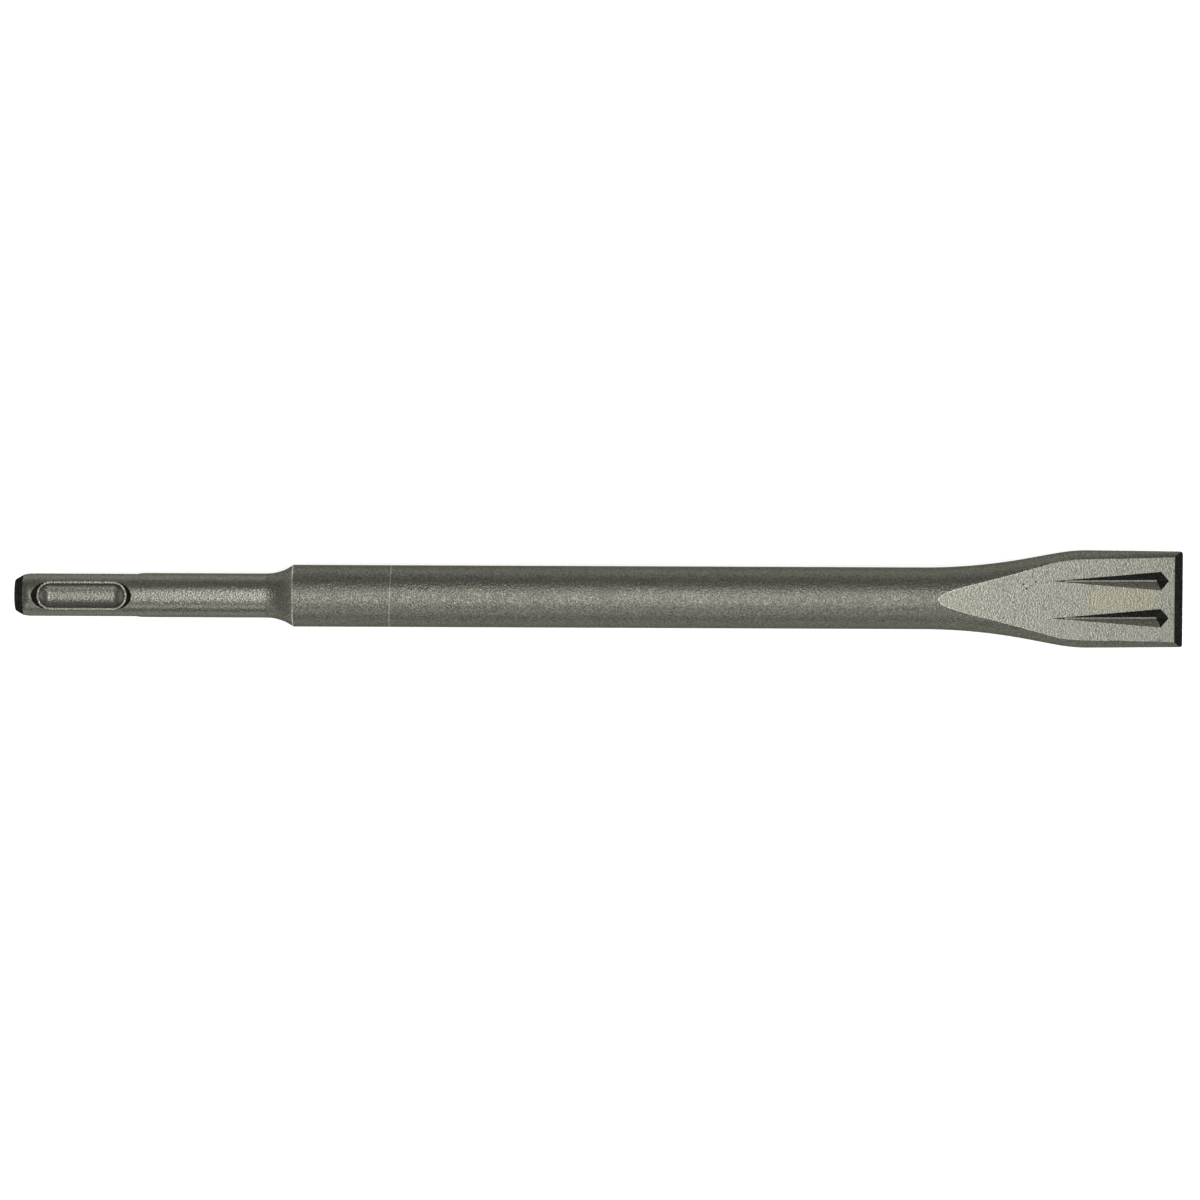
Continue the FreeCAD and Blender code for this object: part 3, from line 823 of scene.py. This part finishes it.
def box_mask():
    """1 inside a rounded rectangle seen from above, fading over its rim."""
    nodes, given, result = new_group(
        "box_mask",
        [("Place", "NodeSocketVector"), ("Centre", "NodeSocketVector"),
         ("Half", "NodeSocketVector"), ("Fade", "NodeSocketFloat")],
        [("Mask", "NodeSocketFloat")],
    )
    away = nodes.add("ShaderNodeVectorMath", {"operation": "SUBTRACT"})
    nodes.feed(away.inputs[0], given.outputs["Place"])
    nodes.feed(away.inputs[1], given.outputs["Centre"])
    size = nodes.add("ShaderNodeVectorMath", {"operation": "ABSOLUTE"})
    nodes.feed(size.inputs[0], away.outputs[0])
    share = nodes.add("ShaderNodeVectorMath", {"operation": "DIVIDE"})
    nodes.feed(share.inputs[0], size.outputs[0])
    nodes.feed(share.inputs[1], given.outputs["Half"])
    parts = nodes.add("ShaderNodeSeparateXYZ", Vector=share.outputs[0])
    fourth_x = nodes.math("POWER", parts.outputs["X"], 4.0)
    fourth_y = nodes.math("POWER", parts.outputs["Y"], 4.0)
    reach = nodes.math("ADD", fourth_x, fourth_y)
    rim = nodes.add("ShaderNodeMapRange", {"interpolation_type": "SMOOTHSTEP"}, Value=reach)
    rim.inputs["From Min"].default_value = 1.0
    nodes.feed(rim.inputs["From Max"], nodes.math("SUBTRACT", 1.0, given.outputs["Fade"]))
    nodes.feed(result.inputs["Mask"], rim.outputs["Result"])
    return nodes.tree


def fine_scratches():
    """Sparse hair-thin scratches that wander over the surface."""
    nodes, given, result = new_group(
        "fine_scratches",
        [("Place", "NodeSocketVector"), ("Spacing", "NodeSocketFloat")],
        [("Mask", "NodeSocketFloat")],
    )
    place = given.outputs["Place"]
    scale = nodes.math("DIVIDE", 1000.0, given.outputs["Spacing"])
    cells = nodes.add("ShaderNodeTexVoronoi", {"feature": "DISTANCE_TO_EDGE"}, Vector=place)
    nodes.feed(cells.inputs["Scale"], scale)
    line = nodes.window(cells.outputs["Distance"], low=0.016, high=0.004)
    patches = nodes.noise(place, nodes.math("MULTIPLY", scale, SCRATCH_PATCH_RATE), detail=2.0)
    sparse = nodes.window(patches, low=0.58, high=0.70)
    nodes.feed(result.inputs["Mask"], nodes.math("MULTIPLY", line, sparse))
    return nodes.tree


def drawn_streaks():
    """Faint marks along the bar, left by drawing and handling."""
    nodes, given, result = new_group(
        "drawn_streaks",
        [("Place", "NodeSocketVector")],
        [("Tone", "NodeSocketFloat")],
    )
    along = nodes.add("ShaderNodeMapping", Vector=given.outputs["Place"])
    along.inputs["Scale"].default_value = STREAK_STRETCH
    streaks = nodes.noise(along.outputs[0], STREAK_RATE, detail=3.0)
    nodes.feed(result.inputs["Tone"], nodes.window(streaks, low=0.35, high=0.65))
    return nodes.tree


def steel(groups, name, base, light, dark, rough, bump, stained):
    """Satin steel with blasted grain, faint streaks and scratches, and the stain if asked for."""
    material = bpy.data.materials.new(name)
    material.use_nodes = True
    material.node_tree.nodes.clear()
    nodes = Nodes(material.node_tree)
    place = nodes.add("ShaderNodeTexCoord").outputs["Object"]
    grain = nodes.add("ShaderNodeGroup", {"node_tree": groups["grain"]}, Place=place, Grain=GRAIN_SIZE)
    cloud = nodes.window(grain.outputs["Cloud"], low=0.35, high=0.65)
    colour = nodes.blend(grain.outputs["Tone"], dark, light)
    colour = nodes.blend(nodes.math("MULTIPLY", cloud, CLOUD_SHARE), colour, base)
    colour = nodes.blend(nodes.math("MULTIPLY", grain.outputs["Specks"], SPECK_SHARE), colour, light)
    colour = nodes.blend(nodes.math("MULTIPLY", grain.outputs["Pits"], PIT_SHARE), colour, dark)
    streaks = nodes.add("ShaderNodeGroup", {"node_tree": groups["streaks"]}, Place=place)
    colour = nodes.blend(nodes.math("MULTIPLY", streaks.outputs["Tone"], STREAK_SHARE), colour, base)
    scratches = nodes.add("ShaderNodeGroup", {"node_tree": groups["scratches"]}, Place=place)
    nodes.feed(scratches.inputs["Spacing"], SCRATCH_SPACING)
    colour = nodes.blend(nodes.math("MULTIPLY", scratches.outputs["Mask"], SCRATCH_SHARE), colour, light)
    if stained:
        stain = nodes.add("ShaderNodeGroup", {"node_tree": groups["box"]}, Place=place)
        nodes.feed(stain.inputs["Centre"], STAIN_CENTRE)
        nodes.feed(stain.inputs["Half"], STAIN_HALF)
        nodes.feed(stain.inputs["Fade"], STAIN_FADE)
        parts = nodes.add("ShaderNodeSeparateXYZ", Vector=place)
        above = nodes.window(parts.outputs["Z"], low=0.0, high=0.5 * MM)
        broken = nodes.window(nodes.noise(place, STAIN_PATCH_RATE, detail=3.0), low=0.2, high=0.5)
        share = nodes.math("MULTIPLY", stain.outputs["Mask"], nodes.math("MULTIPLY", above, broken))
        colour = nodes.blend(nodes.math("MULTIPLY", share, STAIN_SHARE), colour, STAIN_COLOUR)
    spread = nodes.add(
        "ShaderNodeMapRange", Value=grain.outputs["Cloud"],
        From_Min=0.3, From_Max=0.7, To_Min=rough[0], To_Max=rough[1],
    )
    shine = nodes.math("MULTIPLY", grain.outputs["Specks"], SPECK_SHINE)
    roughness = nodes.math("SUBTRACT", spread.outputs["Result"], shine)
    relief = nodes.add("ShaderNodeBump", Strength=bump, Distance=GRAIN_DEPTH)
    nodes.feed(relief.inputs["Height"], grain.outputs["Height"])
    shader = nodes.add("ShaderNodeBsdfPrincipled", Base_Color=colour, Metallic=1.0, Roughness=roughness)
    shader.inputs["Specular Tint"].default_value = EDGE_TINT
    nodes.feed(shader.inputs["Normal"], relief.outputs["Normal"])
    output = nodes.add("ShaderNodeOutputMaterial")
    nodes.feed(output.inputs["Surface"], shader.outputs["BSDF"])
    return material


def dress(piece):
    groups = {
        "grain": blasted_grain(),
        "box": box_mask(),
        "scratches": fine_scratches(),
        "streaks": drawn_streaks(),
    }
    for slot, finish in FINISHES.items():
        piece.data.materials[slot] = steel(groups, stained=slot == PRESSED, **finish)


def table_top():
    bm = bmesh.new()
    bmesh.ops.create_grid(bm, x_segments=2, y_segments=2, size=TABLE_SIZE)
    bmesh.ops.translate(bm, vec=(LENGTH / 2, 0, cad_low.z), verts=bm.verts)
    floor = mesh_object("table_top", bm)
    material = bpy.data.materials.new("pale_table")
    material.use_nodes = True
    material.node_tree.nodes.clear()
    nodes = Nodes(material.node_tree)
    place = nodes.add("ShaderNodeTexCoord").outputs["Object"]
    shade = nodes.window(nodes.noise(place, TABLE_PATCH_RATE, detail=2.0), low=0.2, high=0.8)
    colour = nodes.blend(shade, TABLE_DARK, TABLE_LIGHT)
    rays = nodes.add("ShaderNodeLightPath").outputs
    shown = nodes.math("ADD", rays["Is Camera Ray"], rays["Is Glossy Ray"], clamp=True)
    shown = nodes.math("ADD", shown, rays["Is Transmission Ray"], clamp=True)
    glow = nodes.math("MULTIPLY", shown, TABLE_GLOW)
    shader = nodes.add("ShaderNodeBsdfPrincipled", Base_Color=colour, Roughness=TABLE_ROUGHNESS)
    nodes.feed(shader.inputs["Emission Strength"], glow)
    shader.inputs["Emission Color"].default_value = WHITE
    output = nodes.add("ShaderNodeOutputMaterial")
    nodes.feed(output.inputs["Surface"], shader.outputs["BSDF"])
    floor.data.materials.append(material)


def lamp(name, place, size, power):
    """A soft rectangular lamp facing the middle of the chisel."""
    data = bpy.data.lights.new(name, "AREA")
    data.shape = "RECTANGLE"
    data.size, data.size_y = size
    data.energy = power
    thing = bpy.data.objects.new(name, data)
    thing.location = place
    target = Vector((LENGTH / 2, 0, 0))
    thing.rotation_euler = (target - Vector(place)).to_track_quat("-Z", "Y").to_euler()
    thing.visible_camera = False
    bpy.context.scene.collection.objects.link(thing)


def studio_light():
    for name, light in LAMPS.items():
        lamp(name, **light)
    world = bpy.data.worlds.new("studio")
    bpy.context.scene.world = world
    world.use_nodes = True
    ground = world.node_tree.nodes["Background"]
    ground.inputs["Color"].default_value = WHITE
    ground.inputs["Strength"].default_value = ROOM_LIGHT


def photo_camera():
    """Looks almost straight down, a little from the far side, with the frame of the photograph."""
    distance = FRAME_WIDTH * LENS / SENSOR_WIDTH
    data = bpy.data.cameras.new("photo_camera")
    data.lens = LENS
    data.sensor_width = SENSOR_WIDTH
    camera = bpy.data.objects.new("photo_camera", data)
    turn = Matrix.Rotation(CAMERA_TURN, 4, "Z") @ Matrix.Rotation(CAMERA_LEAN, 4, "X")
    target = Matrix.Translation(CAMERA_TARGET)
    camera.matrix_world = target @ turn @ Matrix.Translation((0, 0, distance))
    bpy.context.scene.collection.objects.link(camera)
    bpy.context.scene.camera = camera


chisel = build_chisel()
dress(chisel)
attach(chisel, "root")
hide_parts("flat_chisel")
table_top()
studio_light()
photo_camera()
bpy.context.scene.view_settings.view_transform = "Standard"
